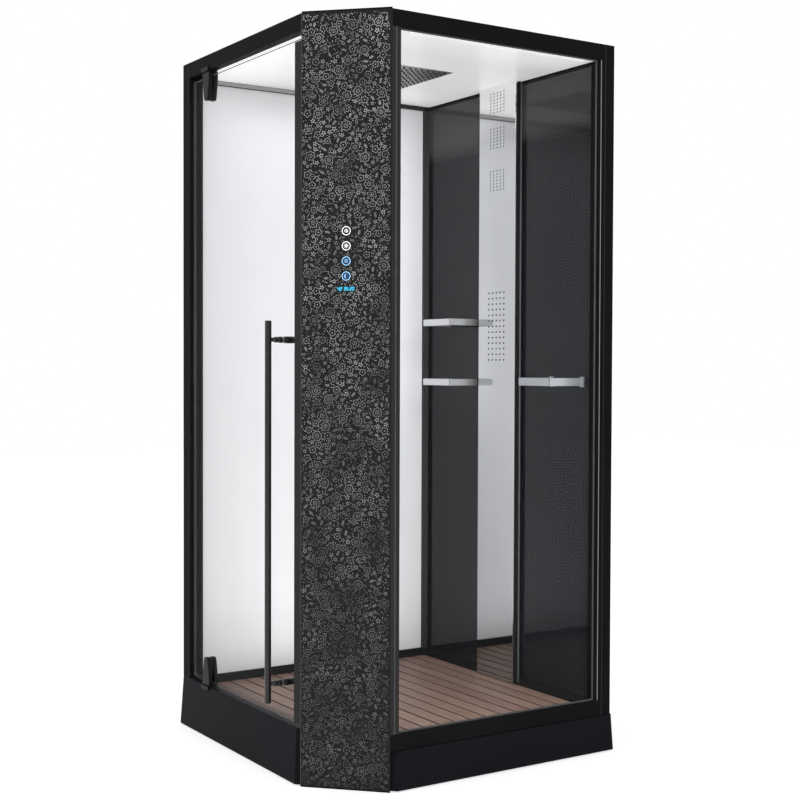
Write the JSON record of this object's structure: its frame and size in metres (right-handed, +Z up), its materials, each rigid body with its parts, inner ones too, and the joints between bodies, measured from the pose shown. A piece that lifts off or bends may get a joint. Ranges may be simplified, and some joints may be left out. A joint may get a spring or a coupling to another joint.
{
  "type": "steam shower cabin",
  "caption": "Square steam shower cabin with a black frame, pivoting glass door, fixed glass side, patterned control column, mirrored jet column and slatted wooden deck.",
  "frame": {"origin": "on the floor under the centre of the square frame, where the middle levelling foot stands", "axes": "+Z up; the door is on the -Y side, the fixed glass on the +X side, the control column on the corner between them, the white wall on the -X side and the dark wall with the mirror column on the +Y side"},
  "size_m": [0.996, 1.0295, 2.154],
  "materials": {
    "tray_acrylic": "gloss black acrylic",
    "galvanised_steel": "galvanised",
    "waste_plastic": "satin",
    "drain_steel": "brushed",
    "deck_wood": "oiled, fine grain",
    "black_frame": "semi-gloss black",
    "magnet_rubber": "satin",
    "white_panel": "gloss",
    "dark_glass": "back-painted glass, polished",
    "black_sheet": "semi-gloss black",
    "mirror_glass": "silvered",
    "nozzle_rubber": "matt",
    "manifold_plastic": "matt",
    "chrome_fittings": "polished",
    "black_fittings": "satin black",
    "clear_glass": "clear, toughened",
    "white_ceiling": "gloss",
    "brushed_head": "brushed",
    "pipe_steel": "drawn stainless",
    "light_diffuser": "frosted",
    "patterned_glass": "glass over a charcoal floral print",
    "key_surface": "backlit",
    "display_surface": "backlit",
    "electronics_case": "matt",
    "tank_steel": "brushed",
    "outlet_plastic": "satin",
    "valve_brass": "cast and turned",
    "plate_steel": "brushed",
    "speaker_plastic": "matt with a fine grille",
    "clear_seal": "translucent"
  },
  "bodies": {
    "cabin": {"shower_tray": "tray_acrylic", "tray_support_bars": "galvanised_steel", "levelling_feet": "galvanised_steel", "waste_trap": "waste_plastic", "drain_cover": "drain_steel", "deck_slats": "deck_wood", "deck_battens": "deck_wood", "front_left_post": "black_frame", "back_left_post": "black_frame", "back_right_post": "black_frame", "front_top_rail": "black_frame", "right_top_rail": "black_frame", "left_top_rail": "black_frame", "back_top_rail": "black_frame", "left_bottom_rail": "black_frame", "back_bottom_rail": "black_frame", "right_bottom_rail": "black_frame", "back_mullion": "black_frame", "glass_channel": "black_frame", "glass_jamb": "black_frame", "jamb_magnet_strip": "magnet_rubber", "white_wall_panel": "white_panel", "dark_wall_panel_left": "dark_glass", "dark_wall_panel_right": "dark_glass", "mirror_column_body": "black_sheet", "mirror_panel": "mirror_glass", "body_jet_nozzles": "nozzle_rubber", "jet_manifolds": "manifold_plastic", "shelf_rails": "chrome_fittings", "shelf_glass_plates": "clear_glass", "towel_holder": "chrome_fittings", "ceiling_panel": "white_ceiling", "rain_head": "brushed_head", "rain_head_nozzles": "nozzle_rubber", "rain_head_pipe": "pipe_steel", "jet_supply_pipe": "pipe_steel", "led_light_bars": "light_diffuser", "column_housing": "black_sheet", "column_front_panel": "patterned_glass", "column_end_caps": "black_frame", "touch_keys": "key_surface", "display_window": "display_surface", "control_box": "electronics_case", "steam_generator": "tank_steel", "steam_pipe": "pipe_steel", "steam_outlet": "outlet_plastic", "mixer_valve": "valve_brass", "mixer_plate": "plate_steel", "loudspeaker": "speaker_plastic", "fixed_glass": "clear_glass", "fixed_glass_gasket": "clear_seal", "pivot_brackets": "black_fittings"},
    "door": {"door_glass": "clear_glass", "door_edge_profile": "black_frame", "door_seals": "clear_seal", "hinge_clamps": "black_fittings", "handle_bar": "black_fittings", "handle_fixings": "black_fittings"},
    "thermostat": {"thermostat_knob": "chrome_fittings"},
    "diverter": {"diverter_knob": "chrome_fittings"}
  },
  "joints": [
    {"name": "door_hinge", "type": "hinge", "parent": "cabin", "child": "door", "pos_m": [-0.316, -0.475, 0.16], "axis": [0, 0, -1], "range_deg": [0, 90]},
    {"name": "thermostat_turn", "type": "hinge", "parent": "cabin", "child": "thermostat", "pos_m": [0.32076, -0.32076, 1.05], "axis": [-0.7071, 0.7071, 0], "range_deg": [0, 180]},
    {"name": "diverter_turn", "type": "hinge", "parent": "cabin", "child": "diverter", "pos_m": [0.32076, -0.32076, 1.15], "axis": [-0.7071, 0.7071, 0], "range_deg": [0, 270]}
  ]
}
